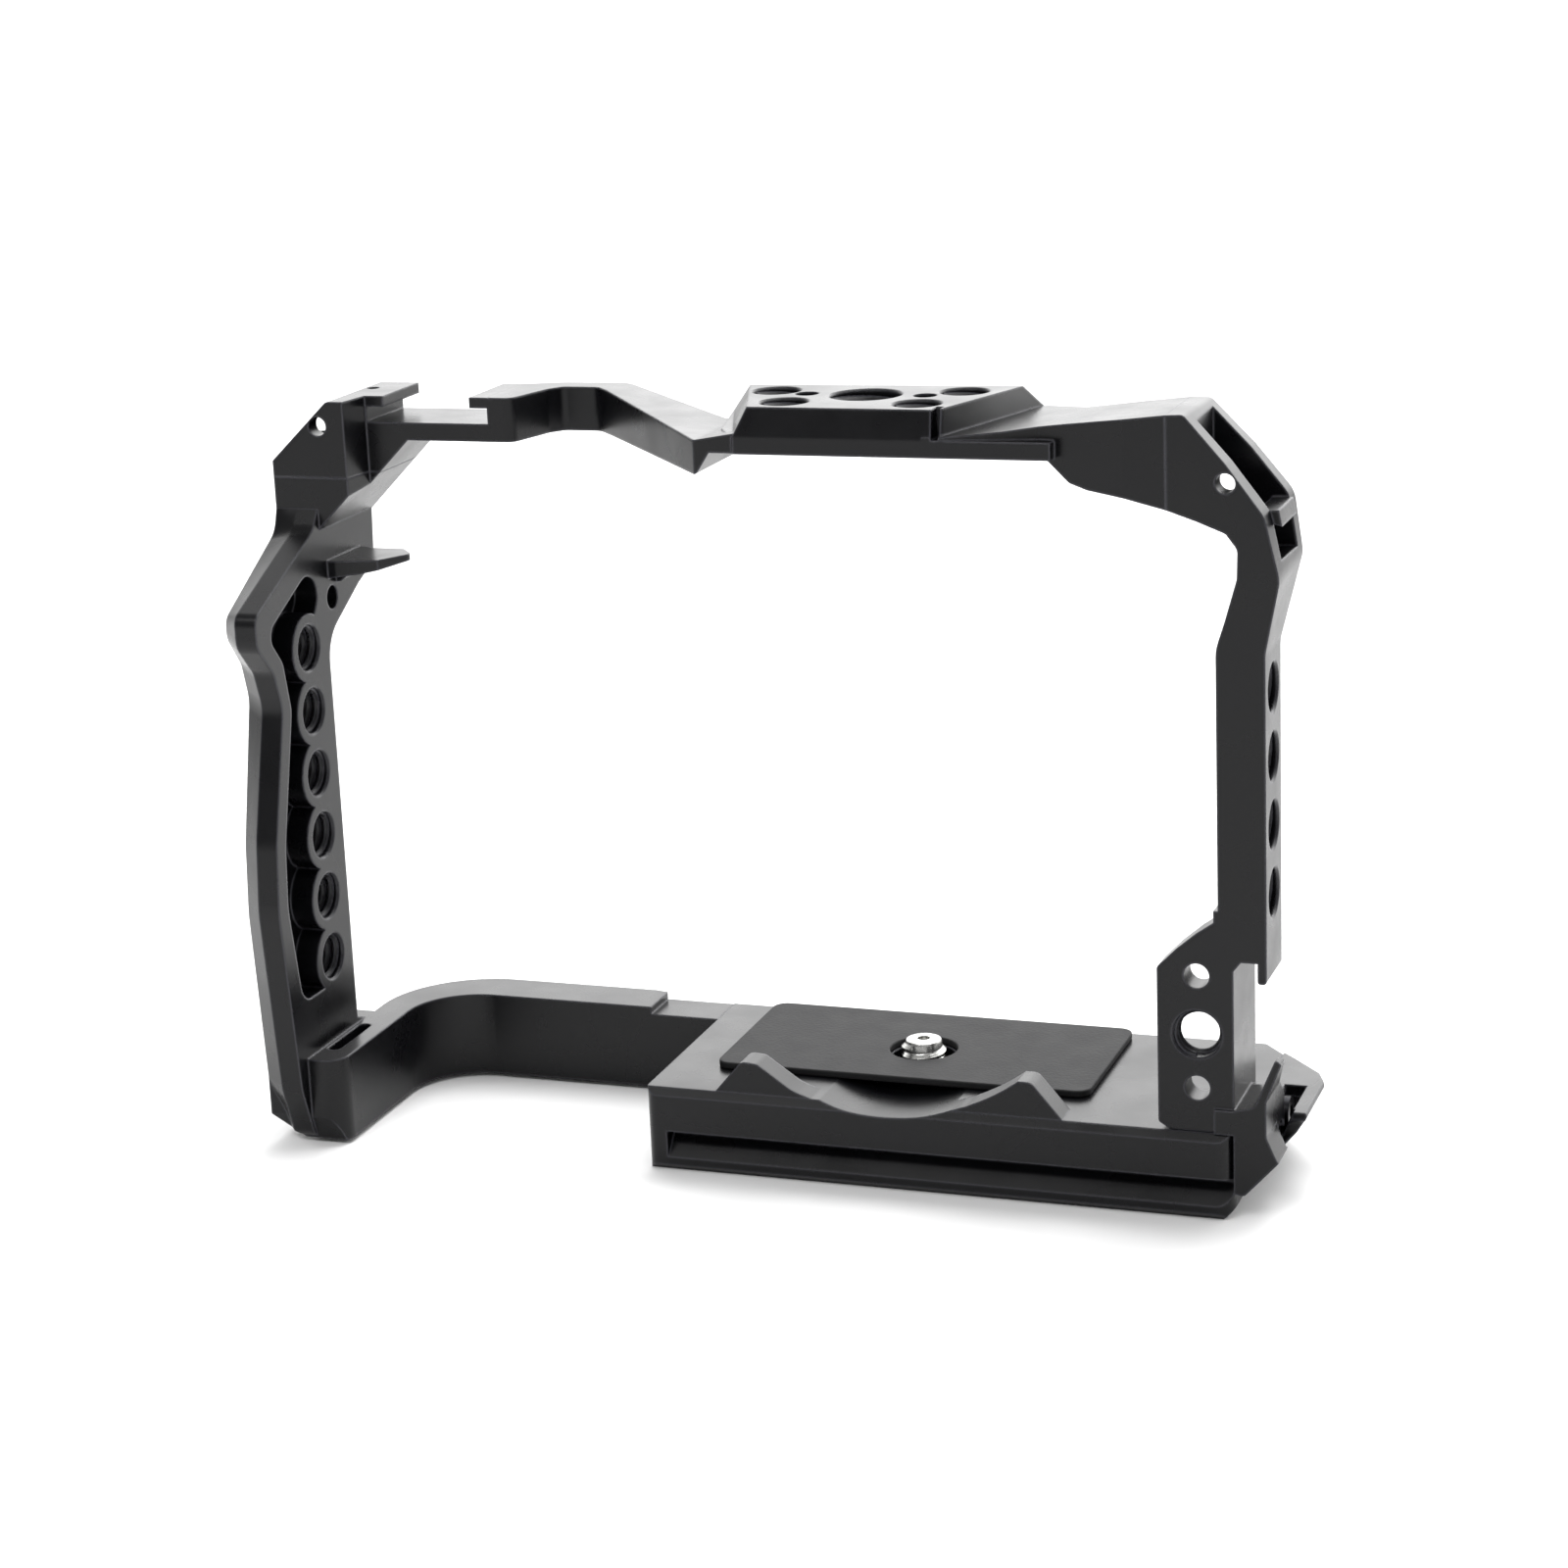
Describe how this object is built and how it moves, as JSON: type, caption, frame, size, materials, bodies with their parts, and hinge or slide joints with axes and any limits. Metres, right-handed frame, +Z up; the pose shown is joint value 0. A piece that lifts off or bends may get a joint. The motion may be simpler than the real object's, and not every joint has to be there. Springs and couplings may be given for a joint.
{
  "type": "camera cage",
  "caption": "Black metal frame that bolts round a camera body, with threaded accessory holes, a cold shoe, strap openings and a dovetail base with a captive camera screw.",
  "frame": {"origin": "on the underside of the base plate, straight below the axis of the camera screw", "axes": "+X to the viewer's right seen from the lens side, -Y towards the lens side, +Z up"},
  "size_m": [0.1477, 0.0458, 0.1075],
  "materials": {
    "black_aluminium": "black anodised, fine satin",
    "bright_steel": "bright stainless steel",
    "black_steel": "black oxide steel",
    "rubber_pad": "dark grey rubber, fine matt grain",
    "nylon": "black nylon"
  },
  "bodies": {
    "cage": {"base_plate": "black_aluminium", "grip_side_arm": "black_aluminium", "top_bar": "black_aluminium", "port_side_arm": "black_aluminium", "base_pad": "rubber_pad", "rail_screws": "black_steel", "rail_dowel": "bright_steel", "foot_screws": "black_steel", "foot_dowel": "bright_steel", "left_seam_screws": "black_steel", "left_seam_dowel": "bright_steel", "right_seam_screws": "black_steel", "right_seam_dowel": "bright_steel"},
    "screw_washer": {"screw_washer": "nylon"},
    "camera_screw": {"camera_screw": "bright_steel"}
  },
  "joints": [
    {"name": "screw_lift", "type": "slide", "parent": "cage", "child": "screw_washer", "axis": [0, 0, 1], "range_m": [0, 0.004]},
    {"name": "screw_turn", "type": "hinge", "parent": "screw_washer", "child": "camera_screw", "pos_m": [0, 0, 0.002], "axis": [0, 0, 1], "continuous": true}
  ]
}
